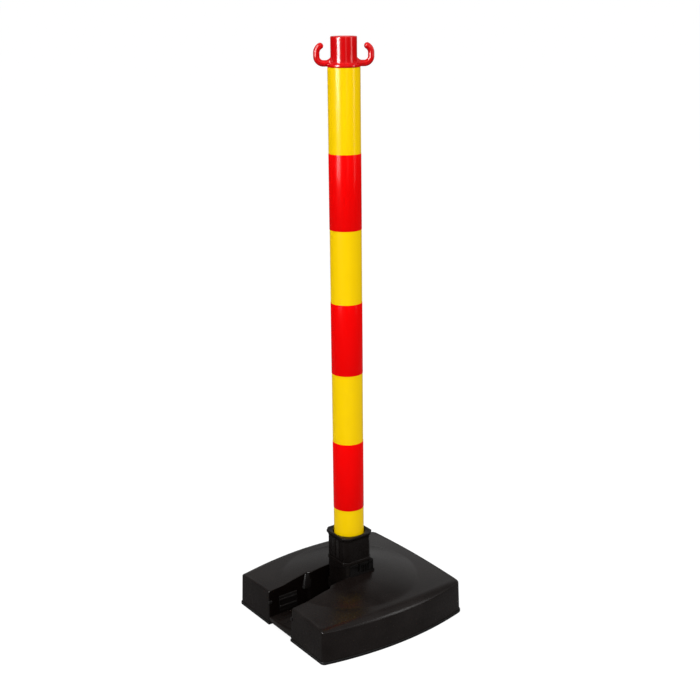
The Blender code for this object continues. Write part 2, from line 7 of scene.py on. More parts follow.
import bmesh
import bpy
from mathutils import Matrix, Vector
from mathutils.geometry import delaunay_2d_cdt


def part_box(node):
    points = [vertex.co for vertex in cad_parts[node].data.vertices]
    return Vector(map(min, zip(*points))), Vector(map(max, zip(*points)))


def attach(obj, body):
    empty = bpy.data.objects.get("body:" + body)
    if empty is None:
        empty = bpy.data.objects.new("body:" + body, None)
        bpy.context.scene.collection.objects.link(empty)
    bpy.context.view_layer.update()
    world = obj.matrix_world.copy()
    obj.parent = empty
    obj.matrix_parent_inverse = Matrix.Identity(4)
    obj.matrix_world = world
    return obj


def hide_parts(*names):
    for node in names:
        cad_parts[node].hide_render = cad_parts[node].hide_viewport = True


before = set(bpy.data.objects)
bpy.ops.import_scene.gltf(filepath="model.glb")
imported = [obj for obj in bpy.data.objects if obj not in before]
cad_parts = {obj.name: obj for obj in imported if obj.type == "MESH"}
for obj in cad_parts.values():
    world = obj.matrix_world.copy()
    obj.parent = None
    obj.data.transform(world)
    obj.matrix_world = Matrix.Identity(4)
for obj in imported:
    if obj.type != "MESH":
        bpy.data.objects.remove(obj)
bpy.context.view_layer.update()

MM = 0.001
WELD = 2e-6             # points nearer than this many metres are one point
HAIR = 0.01             # slack for comparing places
POST_Y = -1.0           # the post's axis, in front of the base's centre
SIDES = ((-1.0, "left"), (1.0, "right"))

# Base outline
FRONT, BACK = -142.5, 144.5
HALF_END, BULGE = 124.0, 19.0
CORNER_FRONT, CORNER_REAR = 6.0, 10.5
DRAFT, FILLET = 1.8, 3.0
MOUTH_ROUND, RIDGE_MOUTH_ROUND = 1.2, 0.8
RIDGE_HALF_END, RIDGE_BULGE = 108.5, 13.3
RIDGE_CORNERS = (6.0, 8.0)
MOUTH_STEPS, EDGE_STEPS, CORNER_STEPS, SIDE_STEPS, BACK_STEPS = 4, 18, 8, 56, 22

# Slot
WIDE_TOP, WIDE_BOTTOM, NARROW = 35.0, 31.7, 29.5
JOG_FRONT, JOG_BACK, SLOT_BACK = -66.0, -59.0, 27.0
SLOT_FILLET = 1.1
SLOT_END_STEPS, SLOT_REAR_STEPS, JOG_STEPS, SLOT_FRONT_STEPS = 8, 16, 6, 15
SLOT_FLOOR_TOP, SLOT_FLOOR_BOTTOM, SLOT_FLOOR_HALF = 14.0, 6.0, 32.6
GROOVES_X, GROOVE_HALF, GROOVE_DEPTH, GROOVE_REAR = (-18.0, 0.0, 18.0), 0.8, 0.8, -30.0

# Base top
SHELL_BOTTOM = 4.8
SIDE_TOP_MID, SIDE_TOP_END = 50.0, 53.5
SIDE_EASE_FROM, SIDE_EASE_OVER, SIDE_EASE_WIDTH = 3.0, 9.0, 8.0
DOME_APEX, DOME_RADIUS = 78.0, 450.0
CREASE_RADIUS, CREASE_SOFT, FIELD_SLOPE = 116.0, 3.0, 0.087
FILLET_STEPS = 12
FIRST_DOME_RING, DOME_RINGS, FIRST_FIELD_RING, FIELD_RINGS = 34.0, 11, 124.0, 9
CREASE_RINGS = (-7.0, -4.0, -2.0, 0.0, 2.0, 4.0)            # their gaps from the crease
RING_GAP, RING_SPACING, RING_SIDES, BORDER_CLEARANCE = 7.0, 5.5, 48, 1.6

# Hinge housing
HOUSING_SEAM, HOUSING_WALL, HOUSING_FRONT, HOUSING_CORNER = 0.04, 2.5, -20.0, 3.5
HOUSING_FOOT, HOUSING_TOP, HOUSING_BACK_TOP = 66.0, 96.0, 94.5
EAR_ROOT = 31.0
EAR_LIPS = ((33.4, (-19.4, 25.0), (92.8, 95.98)),
            (33.6, (-19.4, 28.0), (66.0, 79.5)))             # how far out, then their y and z ranges
RIBS_Y, RIB_HALF, RIB_OUT, RIB_Z = (2.5, 7.5, 12.5), 0.7, 33.2, (70.0, 93.5)
SLITS_Y, SLIT_X, SLIT_Z = ((-5.5, -1.5), (15.6, 17.0)), (28.0, 36.0), (81.0, 100.0)

# Slot fittings
FITTING_ROOT = 36.0
PAD_FACE, PAD_Y, PAD_Z = 32.4, (-122.0, -86.0), (18.0, 46.0)
BAR_X, BAR_Y, BAR_BOTTOMS, BAR_HEIGHT = (31.6, 33.6), (-121.0, -87.0), (25.5, 38.0), 2.6
TAB_X, TAB_Y, TAB_Z = (31.6, 36.5), (-142.3, -136.5), (38.0, 43.0)
BARB_Z = (46.0, 70.0)
BARB_FOOT = ((FITTING_ROOT, -76.0), (FITTING_ROOT, -57.0), (28.4, -59.5), (28.4, -73.5))
BARB_HEAD = ((FITTING_ROOT, -68.0), (FITTING_ROOT, -57.0), (29.8, -57.8), (34.2, -67.0))

# Tray and its screws
TRAY_SLOT_HALF, TRAY_SLOT_BACK, TRAY_MOUTH_ROUND, TRAY_CORNER_CUT = 34.0, 33.0, 0.6, 3.0
TRAY_RIM = ((-0.9, 0.0), (-1.25, 0.18), (-1.45, 0.6), (-1.5, 1.2), (-1.5, 3.5), (-1.4, 4.1),
            (-1.1, 4.42), (-0.7, 4.5), (3.4, 4.5))           # inset and height
SCREW_PROFILE = ((0.01, 0.0), (3.4, 0.0), (4.2, 0.2), (4.5, 0.5), (4.5, 1.1), (1.8, 3.7), (1.8, 16.0),
                 (0.4, 18.4))                                # radius, and height over the head's face
CROSS_LENGTH, CROSS_WIDTH, CROSS_DEPTH = 2.3, 0.5, 1.4

# Collar sections: half width along x, half width along y, corner chamfer
COLLAR_PLATE, COLLAR_GROOVE = (29.1, 28.7, 7.4), (27.3, 26.7, 6.5)
COLLAR_NECK, COLLAR_MOUTH = (28.0, 27.4, 6.6), (31.0, 30.6, 8.5)
PLATE_Z, GROOVE_Z, NECK_BOTTOM, COLLAR_TOP = (95.0, 101.3), (101.35, 102.3), 102.4, 146.5
PLATE_ROUND, NECK_ROUND, MOUTH_TOP_ROUND, CORNER_ROUND = 0.6, 0.7, 0.85, 1.3
FLARE_Z, FLARE_LIP = (136.2, 144.1), 2.4
STRIP_X, STRIP_Y, STRIP_Z = (2.2, 9.4), (-28.3, -26.5), (104.0, 137.0)
COLLAR_BORE = ((22.0, 90.0), (22.0, 101.8), (25.5, 101.8), (25.5, 138.0), (25.75, 140.2), (26.6, 144.6),
               (27.0, 145.7), (27.6, 146.4), (28.4, 146.9), (29.0, 149.0))
COLLAR_HOLES_Z, COLLAR_HOLE_RADIUS = (113.0, 131.0), 2.3

# Hinge foot
PIVOT_Z, PIN_BORE = 48.0, 4.1
HEEL_RADIUS, FOOT_FRONT, FOOT_TOP, FOOT_HALF = 26.6, -24.0, 94.7, 29.0
FOOT_CHAMFER, FOOT_CHAMFER_Z = 5.0, (54.0, 100.0)

# Tube and bands
TUBE_RADIUS, TUBE_INNER, TUBE_BOTTOM, TUBE_TOP = 25.0, 22.6, 102.2, 906.1
TUBE_CHAMFER, TUBE_CHAMFER_HEIGHT, TUBE_STEPS, TUBE_SIDES = 0.5, 0.6, 24, 144
BANDS = {"lower": 191.1, "middle": 425.8, "upper": 660.5}
BAND_HEIGHT, FILM_INNER, FILM_OUTER = 117.4, TUBE_RADIUS + 0.03, TUBE_RADIUS + 0.32
FILM_EDGE = ((FILM_INNER, 0.05), (FILM_INNER + 0.12, 0.0), (FILM_OUTER - 0.05, 0.05),
             (FILM_OUTER, 0.2))                              # radius, and height from the band's edge

# Cap
CAP_HEADING = math.radians(54.34)
CAP_RADIUS, CAP_TOP, CAP_SIDES = 20.0, 951.0, 128
FLANGE_RADIUS, FLANGE_BOTTOM, FLANGE_TOP = 25.3, 906.5, 911.0
FLANGE_ROUND_LOW, FLANGE_ROUND_HIGH, CAP_ROOT_ROUND, CAP_TOP_ROUND = 0.9, 1.2, 3.0, 1.2
SPIGOT = ((21.0, 872.0), (22.3, 873.6), (22.3, 906.4))
CAP_WALL_RINGS = (12.0, 24.0)                                # they keep the wall's shading straight
CAP_DISH = ((16.6, 0.0), (16.2, 0.1), (15.8, 0.5), (15.4, 0.6), (4.0, 0.7), (3.4, 0.8), (3.0, 1.1),
            (0.02, 1.2))                                     # radius, and depth under the top
HOOK_RADIUS, HOOK_ARM_Z, HOOK_BEND, HOOK_REACH = 4.8, 911.8, 10.3, 41.0
HOOK_STRAIGHT, HOOK_CROOK, HOOK_CROOK_ANGLE = 4.9, 11.7, 60.0
HOOK_FILLET, HOOK_FILLET_END, HOOK_WIDENING = 4.2, 27.0, 0.05
HOOK_START, ARM_STEPS, BEND_STEPS, CROOK_STEPS, TIP_STEPS, HOOK_SIDES = 10.0, 20, 14, 18, 9, 40

# Studio, in metres and degrees
FLOOR_REACH = 220.0
FLOOR_LIT, FLOOR_SEEN, FLOOR_GLOW = 0.34, 0.16, 0.89
FLOOR_FADE = (0.4, 2.5, 1.0, 0.28)            # from and to distance, then how bright the mirrored floor is
FLOOR_TOWARD, FLOOR_SIDES = (0.81, 0.59, 0.0), (-0.08, 0.10, 0.165, 0.275)
SKY_LIT, SKY_SEEN = 0.42, 1.0
SKY_STOPS = ((0.01, 0.04), (0.08, 0.30), (0.20, 0.50), (0.38, 0.40), (0.52, 0.48), (0.80, 0.14),
             (1.0, 0.05))                     # height, then how bright the mirrored sky is
SKY_TOWARD, SKY_SIDES = (0.5, 0.866, 0.0), (0.04, 0.17, 0.86, 1.28)
TOP_LIGHT_POWER, TOP_LIGHT_SPREAD, TOP_LIGHT_TILT = 0.95, 100.0, (12.0, 16.0)
CAMERA_AZIMUTH, CAMERA_ELEVATION, CAMERA_ROLL = 54.34, 17.34, -0.63
CAMERA_PLACE = (1.4890, -1.0685 + POST_Y * MM, 1.0235)
CAMERA_LENS, CAMERA_SENSOR, CAMERA_SHIFT = 61.3, 36.0, (0.0043, 0.0101)


# ---------------------------------------------------------------- outlines
def arc(x, y, radius, start, end, steps):
    """Points along an arc, both ends included; its angles are in degrees."""
    turns = [math.radians(start + (end - start) * i / steps) for i in range(steps + 1)]
    return [(x + radius * math.cos(turn), y + radius * math.sin(turn)) for turn in turns]


def circle(radius, sides, turn=0.0):
    return [(radius * math.cos(turn + 2.0 * math.pi * i / sides),
             radius * math.sin(turn + 2.0 * math.pi * i / sides)) for i in range(sides)]


def eased(share):
    return share * share * (3.0 - 2.0 * share)


def mirrored(points):
    """The same points on the left side, in reverse, to close a loop."""
    return [(-x, y) for x, y in reversed(points)]


def at_height(loop, z):
    return [(x, y, z) for x, y in loop]


# ---------------------------------------------------------------- meshes
def new_object(name, data):
    obj = bpy.data.objects.new(name, data)
    bpy.context.scene.collection.objects.link(obj)
    return obj


def shade(obj, smooth_angle):
    """Weld points that meet, drop slivers, and shade smooth up to an angle in degrees."""
    bm = bmesh.new()
    bm.from_mesh(obj.data)
    bmesh.ops.remove_doubles(bm, verts=bm.verts, dist=WELD)
    bmesh.ops.dissolve_degenerate(bm, edges=bm.edges, dist=WELD)
    bmesh.ops.recalc_face_normals(bm, faces=bm.faces)
    bm.to_mesh(obj.data)
    bm.free()
    obj.data.shade_smooth()
    obj.data.set_sharp_from_angle(angle=math.radians(smooth_angle))
    return obj


def from_points(name, verts, faces, smooth_angle=38.0):
    """An object in metres from points in millimetres about the post's axis."""
    mesh = bpy.data.meshes.new(name)
    mesh.from_pydata([(x * MM, (y + POST_Y) * MM, z * MM) for x, y, z in verts], [], faces)
    return shade(new_object(name, mesh), smooth_angle)


def loft_data(rings, closed_ends=True):
    """Points and faces of a skin over rings that all have the same count."""
    count = len(rings[0])
    verts = [p for ring in rings for p in ring]
    faces = []
    for level in range(len(rings) - 1):
        low, high = level * count, (level + 1) * count
        for i in range(count):
            j = (i + 1) % count
            faces.append((low + i, low + j, high + j, high + i))
    if closed_ends:
        faces.append(tuple(reversed(range(count))))
        last = (len(rings) - 1) * count
        faces.append(tuple(range(last, last + count)))
    return verts, faces


def loft(name, rings, smooth_angle=38.0):
    return from_points(name, *loft_data(rings), smooth_angle)


def turned(name, profile, sides, smooth_angle=38.0):
    """A solid turned about the post's axis from (radius, z) points."""
    return loft(name, [at_height(circle(radius, sides), z) for radius, z in profile], smooth_angle)


def turned_ring(name, profile, sides):
    """A hollow ring turned about the post's axis; its profile closes on itself."""
    rings = [at_height(circle(radius, sides), z) for radius, z in profile]
    return from_points(name, *loft_data(rings + [rings[0]], closed_ends=False))


def block(name, x_range, y_range, z_range):
    (x0, x1), (y0, y1) = sorted(x_range), sorted(y_range)
    return loft(name, [at_height([(x0, y0), (x1, y0), (x1, y1), (x0, y1)], z) for z in z_range])


def side_block(name, side, x_range, y_range, z_range):
    """A block on the left or the right, its x counted outward."""
    return block(name, [side * x for x in x_range], y_range, z_range)


def apply_modifiers(obj):
    graph = bpy.context.evaluated_depsgraph_get()
    mesh = bpy.data.meshes.new_from_object(obj.evaluated_get(graph))
    obj.modifiers.clear()
    old = obj.data
    obj.data = mesh
    bpy.data.meshes.remove(old)
    return obj


def combine(obj, others, operation):
    """Boolean other objects into this one and drop them."""
    for other in others:
        step = obj.modifiers.new("combine", "BOOLEAN")
        step.operation, step.solver, step.object = operation, "EXACT", other
        apply_modifiers(obj)
        bpy.data.objects.remove(other, do_unlink=True)
    return obj


def soften(obj, width, segments=3):
    """Round the sharp edges of a moulded piece."""
    step = obj.modifiers.new("soft_edges", "BEVEL")
    step.width, step.segments = width * MM, segments
    step.limit_method, step.angle_limit = "ANGLE", math.radians(30.0)
    step.use_clamp_overlap = True
    return shade(apply_modifiers(obj), 42.0)


def joined(name, parts, smooth_angle=42.0):
    """Several bodies as one piece."""
    bm = bmesh.new()
    for part in parts:
        bm.from_mesh(part.data)
        bpy.data.objects.remove(part, do_unlink=True)
    mesh = bpy.data.meshes.new(name)
    bm.to_mesh(mesh)
    bm.free()
    return shade(new_object(name, mesh), smooth_angle)


# ---------------------------------------------------------------- node trees
class Graph:
    """Short-hand for one node tree, where an input is a constant or another node's output."""

    def __init__(self, tree):
        self.tree = tree
        self.coords = self.node("TexCoord").outputs

    def feed(self, socket, value):
        if isinstance(value, bpy.types.NodeSocket):
            self.tree.links.new(value, socket)
        elif socket.type == "RGBA":
            socket.default_value = (*value, 1.0)
        else:
            socket.default_value = value

    def node(self, kind, **inputs):
        node = self.tree.nodes.new("ShaderNode" + kind)
        for word, value in inputs.items():
            self.feed(node.inputs[word.replace("_", " ")], value)
        return node

    def calc(self, operation, *values):
        node = self.node("Math")
        node.operation = operation
        for socket, value in zip(node.inputs, values):
            self.feed(socket, value)
        return node.outputs[0]

    def ramp(self, value, low, high, out_low=0.0, out_high=1.0):
        return self.node("MapRange", Value=value, From_Min=low, From_Max=high, To_Min=out_low,
                         To_Max=out_high).outputs["Result"]

    def axis(self, vector, letter):
        return self.node("SeparateXYZ", Vector=vector).outputs[letter]

    def mix(self, share, first, second):
        """Blend two colours."""
        node = self.node("Mix", Factor=share)
        node.data_type = "RGBA"
        self.feed(node.inputs[6], first)
        self.feed(node.inputs[7], second)
        return node.outputs[2]

    def noise(self, scale, detail=4.0, rough=0.55, stretch=(1.0, 1.0, 1.0), distortion=0.0):
        mapping = self.node("Mapping", Vector=self.coords["Object"], Scale=stretch)
        return self.node("TexNoise", Vector=mapping.outputs["Vector"], Scale=scale, Detail=detail,
                         Roughness=rough, Distortion=distortion).outputs["Fac"]

    def measure(self, operation, place, direction, change):
        """Map a place's distance, or its reach in one direction, from one range to another."""
        node = self.node("VectorMath")
        node.operation = operation
        self.feed(node.inputs[0], place)
        self.feed(node.inputs[1], direction)
        return self.ramp(node.outputs["Value"], *change)

    def by_ray(self, otherwise, camera):
        """One value for what the camera sees and another for everything else."""
        seen = self.node("LightPath").outputs["Is Camera Ray"]
        return self.calc("MULTIPLY_ADD", seen, camera - otherwise, otherwise)

    def by_path(self, plain, in_mirror):
        """One value, or another where the object mirrors it."""
        choice = self.node("Mix")
        self.feed(choice.inputs[0], self.node("LightPath").outputs["Is Glossy Ray"])
        self.feed(choice.inputs[2], plain)
        self.feed(choice.inputs[3], in_mirror)
        return choice.outputs[0]


class Look(Graph):
    """One procedural plastic, film, metal or concrete material."""

    def __init__(self, name, colour, roughness, specular=0.5, metallic=0.0):
        self.mat = bpy.data.materials.new(name)
        self.mat.use_nodes = True
        super().__init__(self.mat.node_tree)
        self.shader = self.tree.nodes["Principled BSDF"].inputs
        self.feed(self.shader["Base Color"], colour)
        self.feed(self.shader["Roughness"], roughness)
        self.feed(self.shader["Specular IOR Level"], specular)
        self.feed(self.shader["Metallic"], metallic)
        self.bumps = None

    def add_bump(self, value, strength, distance):
        """Stack one more bump on those already there."""
        node = self.node("Bump", Height=value, Strength=strength, Distance=distance)
        if self.bumps is not None:
            self.feed(node.inputs["Normal"], self.bumps)
        self.bumps = node.outputs["Normal"]
        self.feed(self.shader["Normal"], self.bumps)

    def scratches(self, scale, stretch, line_width=0.005):
        """Thin lines where a stretched noise crosses its middle value."""
        field = self.noise(scale, 2.0, 0.5, stretch, 0.6)
        near = self.calc("ABSOLUTE", self.calc("SUBTRACT", field, 0.5))
        line = self.ramp(near, 0.0, line_width, 1.0, 0.0)
        return self.calc("MULTIPLY", line, self.ramp(self.noise(scale * 0.35, 2.0), 0.56, 0.66))

    def worn_edges(self, low=0.53, high=0.62):
        """Where the surface turns sharply outward."""
        return self.ramp(self.node("NewGeometry").outputs["Pointiness"], low, high)

    def facing(self):
        """How far the surface faces up."""
        return self.axis(self.node("NewGeometry").outputs["Normal"], "Z")

    def slot_wall_shade(self):
        """1 on the slot's upright walls, where the recess gets painted shade."""
        across = self.calc("ABSOLUTE", self.axis(self.coords["Object"], "X"))
        inside = self.ramp(across, (WIDE_TOP + 0.1) * MM, (WIDE_TOP + 0.4) * MM, 1.0, 0.0)
        return self.calc("MULTIPLY", inside, self.ramp(self.facing(), 0.3, 0.7, 1.0, 0.0))


# ---------------------------------------------------------------- materials
def black_plastic(name, tone, roughness, specular, grain=900.0, grain_depth=0.00006, slot_shade_tone=None):
    """Moulded black plastic: fine spark-eroded grain, soft sheen changes, dust and faint scuffs, and painted
    shade on the slot's walls when a slot shade tone is given.
    """
    look = Look(name, tone, roughness, specular)
    fine = look.noise(grain, 5.0, 0.6)
    broad = look.noise(14.0)
    scuff = look.scratches(60.0, (1.0, 0.16, 1.0))
    dust = look.calc("MULTIPLY", look.ramp(look.facing(), 0.6, 0.98),
                     look.ramp(look.noise(420.0, 3.0, 0.7), 0.58, 0.74))
    lifted = tuple(c * 1.9 + 0.006 for c in tone)
    grey = tuple(c * 2.4 + 0.02 for c in tone)
    colour = look.mix(look.ramp(broad, 0.35, 0.7, 0.0, 0.55), tone, lifted)
    for mark, strength in ((dust, 0.15), (scuff, 0.3), (look.worn_edges(), 0.25)):
        colour = look.mix(look.calc("MULTIPLY", mark, strength), colour, grey)
    # painted shade: the slot's upright walls are darkened toward the slot tone, standing in for the shade
    # inside the recess
    if slot_shade_tone is not None:
        colour = look.mix(look.slot_wall_shade(), colour, tuple(c * slot_shade_tone for c in tone))
    look.feed(look.shader["Base Color"], colour)
    rough = look.calc("ADD", look.ramp(broad, 0.3, 0.7, roughness - 0.05, roughness + 0.06),
                      look.ramp(fine, 0.3, 0.7, -0.04, 0.05))
    look.feed(look.shader["Roughness"], look.calc("ADD", rough, look.calc("MULTIPLY", scuff, 0.12)))
    look.add_bump(fine, 0.55, grain_depth)
    look.add_bump(look.noise(35.0, 2.0), 0.12, 0.0004)
    look.add_bump(scuff, 0.2, -0.00003)
    return look.mat


def tube_plastic(name, colour, roughness, streak_colour, wear, specular):
    """Extruded tube: faint lengthwise draw lines, slight waviness, handling marks."""
    look = Look(name, colour, roughness, specular)
    draw = look.noise(260.0, 3.0, 0.5, (1.0, 1.0, 0.012))
    broad = look.noise(9.0, 3.0, 0.5, (1.0, 1.0, 0.4))
    scuff = look.scratches(45.0, (1.0, 1.0, 0.35))
    body = look.mix(look.ramp(broad, 0.35, 0.7, 0.0, 0.3), colour, streak_colour)
    body = look.mix(look.calc("MULTIPLY", scuff, wear), body, tuple(c * 0.72 for c in colour))
    look.feed(look.shader["Base Color"], body)
    rough = look.calc("ADD", look.ramp(draw, 0.3, 0.7, roughness - 0.03, roughness + 0.04),
                      look.calc("MULTIPLY", scuff, 0.18))
    look.feed(look.shader["Roughness"], look.calc("ADD", rough, look.ramp(broad, 0.3, 0.7, -0.02, 0.04)))
    look.add_bump(draw, 0.10, 0.00004)
    look.add_bump(look.noise(30.0, 2.0, 0.5, (1.0, 1.0, 0.3)), 0.08, 0.0003)
    look.add_bump(scuff, 0.25, -0.00002)
    return look.mat


def cap_plastic(name, colour, roughness, specular):
    """Glossy injection-moulded plastic with flow marks, orange peel and fine rub marks."""
    look = Look(name, colour, roughness, specular)
    flow = look.noise(28.0, 4.0, 0.55, (1.0, 1.0, 0.35), 0.8)
    scuff = look.scratches(120.0, (1.0, 0.4, 1.0))
    body = look.mix(look.ramp(flow, 0.35, 0.7, 0.0, 0.35), colour, tuple(c * 0.78 for c in colour))
    body = look.mix(look.calc("MULTIPLY", look.worn_edges(0.54, 0.64), 0.22), body,
                    tuple(c * 1.2 + 0.03 for c in colour))
    look.feed(look.shader["Base Color"], body)
    rough = look.calc("ADD", look.ramp(flow, 0.3, 0.7, roughness - 0.02, roughness + 0.05),
                      look.calc("MULTIPLY", scuff, 0.2))
    look.feed(look.shader["Roughness"], rough)
    look.add_bump(look.noise(220.0, 2.0), 0.06, 0.00006)
    look.add_bump(flow, 0.05, 0.0004)
    look.add_bump(scuff, 0.2, -0.00002)
    return look.mat


def zinc_steel():
    """Zinc plating with a fine spangle and dull stains."""
    look = Look("zinc_steel_look", (0.55, 0.55, 0.53), 0.34, metallic=1.0)
    spangle = look.noise(700.0, 3.0, 0.6)
    stain = look.noise(90.0, 3.0, 0.6)
    body = look.mix(look.ramp(stain, 0.4, 0.75), (0.58, 0.58, 0.56), (0.36, 0.35, 0.32))
    look.feed(look.shader["Base Color"], body)
    look.feed(look.shader["Roughness"], look.ramp(spangle, 0.3, 0.7, 0.26, 0.48))
    look.add_bump(spangle, 0.15, 0.00005)
    return look.mat


def concrete():
    """Rough cast concrete with pale grit."""
    look = Look("concrete_look", (0.36, 0.35, 0.33), 0.9)
    grit = look.noise(260.0, 6.0, 0.65)
    patch = look.noise(22.0, 4.0, 0.6)
    body = look.mix(look.ramp(patch, 0.35, 0.7), (0.40, 0.39, 0.36), (0.27, 0.26, 0.25))
    look.feed(look.shader["Base Color"], look.mix(look.ramp(grit, 0.55, 0.75), body, (0.5, 0.48, 0.44)))
    look.feed(look.shader["Roughness"], look.ramp(grit, 0.3, 0.7, 0.82, 0.97))
    look.add_bump(grit, 0.6, 0.0008)
    return look.mat


BASE_BLACK = black_plastic("base_black_look", (0.0044, 0.0027, 0.0022), 0.28, 0.2)
# the shell's slot walls get painted shade at 0.6 of its tone
SHELL_BLACK = black_plastic("shell_black_look", (0.0037, 0.0020, 0.0015), 0.25, 0.2, slot_shade_tone=0.6)
# painted shade: the slot's fittings are the shell's plastic made darker, for the shade inside the slot
FITTING_SHADED_BLACK = black_plastic("fitting_painted_shade_look", (0.0024, 0.0017, 0.0015), 0.36, 0.13)
# painted shade: the housing is the shell's plastic made far darker, for the shade round the hinge's ears
HOUSING_SHADED_BLACK = black_plastic("housing_painted_shade_look", (0.0009, 0.0005, 0.0004), 0.34, 0.02, 900.0, 0.00005)
# painted shade: the knuckle is the collar's plastic made darker, for the shade it sits in within the slot
KNUCKLE_SHADED_BLACK = black_plastic("knuckle_painted_shade_look", (0.0030, 0.0020, 0.0016), 0.3, 0.08, 1100.0, 0.00004)
TRAY_BLACK = black_plastic("tray_black_look", (0.0020, 0.0016, 0.0015), 0.5, 0.22, 700.0, 0.00008)
COLLAR_BLACK = black_plastic("collar_black_look", (0.0042, 0.0029, 0.0024), 0.27, 0.11, 1100.0, 0.00004)
YELLOW = tube_plastic("yellow_tube_look", (0.98, 0.64, 0.0), 0.17, (0.93, 0.57, 0.0), 0.35, 0.13)
RED_FILM = tube_plastic("red_film_look", (0.90, 0.0010, 0.0010), 0.19, (0.80, 0.0012, 0.0012), 0.2, 0.045)
CAP_RED = cap_plastic("cap_red_look", (0.64, 0.0010, 0.0025), 0.14, 0.27)
STEEL = zinc_steel()
CONCRETE = concrete()


def dress(obj, mat, body, slot, *nodes):
    """Give a piece its material and body, and hide the frame nodes that it stands for; the record slot is not
    used.
    """
    obj.data.materials.clear()
    obj.data.materials.append(mat)
    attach(obj, body)
    if nodes:
        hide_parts(*nodes)
    return obj


# ---------------------------------------------------------------- base outline
def outer_half(inset, half_end, bulge, corners, mouth, mouth_round):
    """Right half of the base outline, from the slot's mouth round to the back centre."""
    front, back = FRONT + inset, BACK - inset
    middle, reach = (front + back) / 2.0, (back - front) / 2.0

    def side_x(y):
        return half_end + bulge * (1.0 - ((y - middle) / reach) ** 2)

    def corner(edge, radius, inward):
        """A corner's centre, the side's lean where the corner meets it, and the y of that place."""
        lean = math.atan(2.0 * bulge * (reach - radius) / reach ** 2)
        centre = edge + inward * radius
        join = centre - inward * radius * math.sin(lean)
        return side_x(join) - radius * math.cos(lean), centre, math.degrees(lean), join

    front_radius, rear_radius = corners
    front_x, front_y, front_lean, side_start = corner(front, front_radius, 1.0)
    rear_x, rear_y, rear_lean, side_end = corner(back, rear_radius, -1.0)
    edge_start = mouth + mouth_round
    points = arc(edge_start, front + mouth_round, mouth_round, 180.0, 270.0, MOUTH_STEPS)[:-1]
    points += [(edge_start + (front_x - edge_start) * i / EDGE_STEPS, front) for i in range(EDGE_STEPS)]
    points += arc(front_x, front_y, front_radius, -90.0, -front_lean, CORNER_STEPS)[:-1]
    for i in range(SIDE_STEPS + 1):
        y = side_start + (side_end - side_start) * i / SIDE_STEPS
        points.append((side_x(y), y))
    points += arc(rear_x, rear_y, rear_radius, rear_lean, 90.0, CORNER_STEPS)[1:]
    points += [(rear_x * i / BACK_STEPS, back) for i in reversed(range(BACK_STEPS))]
    return points


def slot_half(slot, front):
    """Right wall of the slot, from its back centre forward to the mouth."""
    wide, narrow, back = slot
    points = [(narrow * i / SLOT_END_STEPS, back) for i in range(SLOT_END_STEPS)]
    points += [(narrow, back + (JOG_BACK - back) * i / SLOT_REAR_STEPS) for i in range(SLOT_REAR_STEPS)]
    for i in range(JOG_STEPS):
        share = i / JOG_STEPS
        points.append((narrow + (wide - narrow) * eased(share), JOG_BACK + (JOG_FRONT - JOG_BACK) * share))
    points += [(wide, JOG_FRONT + (front - JOG_FRONT) * i / SLOT_FRONT_STEPS)
               for i in range(SLOT_FRONT_STEPS)]
    return points


def u_loop(inset, half_end, bulge, corners, slot, mouth_round):
    """The base's U-shaped plan: outline and slot as one closed loop, the same count every time."""
    right = slot_half(slot, FRONT + inset + mouth_round)
    right += outer_half(inset, half_end, bulge, corners, slot[0], mouth_round)
    return right + mirrored(right[1:-1])


# ---------------------------------------------------------------- base shell
def dome_height(radius):
    return DOME_APEX - (DOME_RADIUS - math.sqrt(DOME_RADIUS ** 2 - radius ** 2))


def field_height(x, y):
    """Height of the base's top: the dome, then past a soft crease the sloping field."""
    radius = math.hypot(x, y)
    over = radius - CREASE_RADIUS
    share = eased(min(max((over + CREASE_SOFT) / (2.0 * CREASE_SOFT), 0.0), 1.0))
    dome = dome_height(min(radius, CREASE_RADIUS + CREASE_SOFT))
    field = dome_height(CREASE_RADIUS) - FIELD_SLOPE * over
    return dome * (1.0 - share) + field * share


def side_share(x, y):
    """0 along the front and back edges, 1 along the sides, eased at the corners."""
    if abs(x) <= RIDGE_HALF_END - SIDE_EASE_WIDTH:
        return 0.0
    gap = min(y - FRONT, BACK - y)
    return min(max((gap - SIDE_EASE_FROM) / SIDE_EASE_OVER, 0.0), 1.0)


def wall_top_height(x, y):
    """Where the outer wall ends and the fillet up to the ridge starts."""
    reach = abs(y - (FRONT + BACK) / 2.0) / ((BACK - FRONT) / 2.0)
    side = SIDE_TOP_MID + (SIDE_TOP_END - SIDE_TOP_MID) * reach ** 2
    front = field_height(x, y) - FILLET
    return front + (side - front) * side_share(x, y)


def on_slot(x, y):
    """True on the slot's walls, where the top edge has its own small fillet."""
    return abs(x) < WIDE_TOP + HAIR and FRONT + DRAFT + MOUTH_ROUND + HAIR < y < SLOT_BACK + HAIR


def inside_loop(x, y, loop):
    inside = False
    for (x0, y0), (x1, y1) in zip(loop, loop[1:] + loop[:1]):
        if (y0 > y) != (y1 > y) and x < (x1 - x0) * (y - y0) / (y1 - y0) + x0:
            inside = not inside
    return inside


def border_gap(x, y, loop):
    return min(math.hypot(x - px, y - py) for px, py in loop)


def interior_points(loop):
    """Rings about the post's axis that follow the dome and the field, kept clear of the border."""
    radii = [FIRST_DOME_RING + RING_GAP * i for i in range(DOME_RINGS)]
    radii += [CREASE_RADIUS + gap for gap in CREASE_RINGS]
    radii += [FIRST_FIELD_RING + RING_GAP * i for i in range(FIELD_RINGS)]
    points = []
    for index, radius in enumerate(radii):
        sides = max(RING_SIDES, int(radius * 2.0 * math.pi / RING_SPACING))
        ring = circle(radius, sides, math.pi / sides if index % 2 else 0.0)
        points += [p for p in ring if inside_loop(*p, loop) and border_gap(*p, loop) > BORDER_CLEARANCE]
    return points


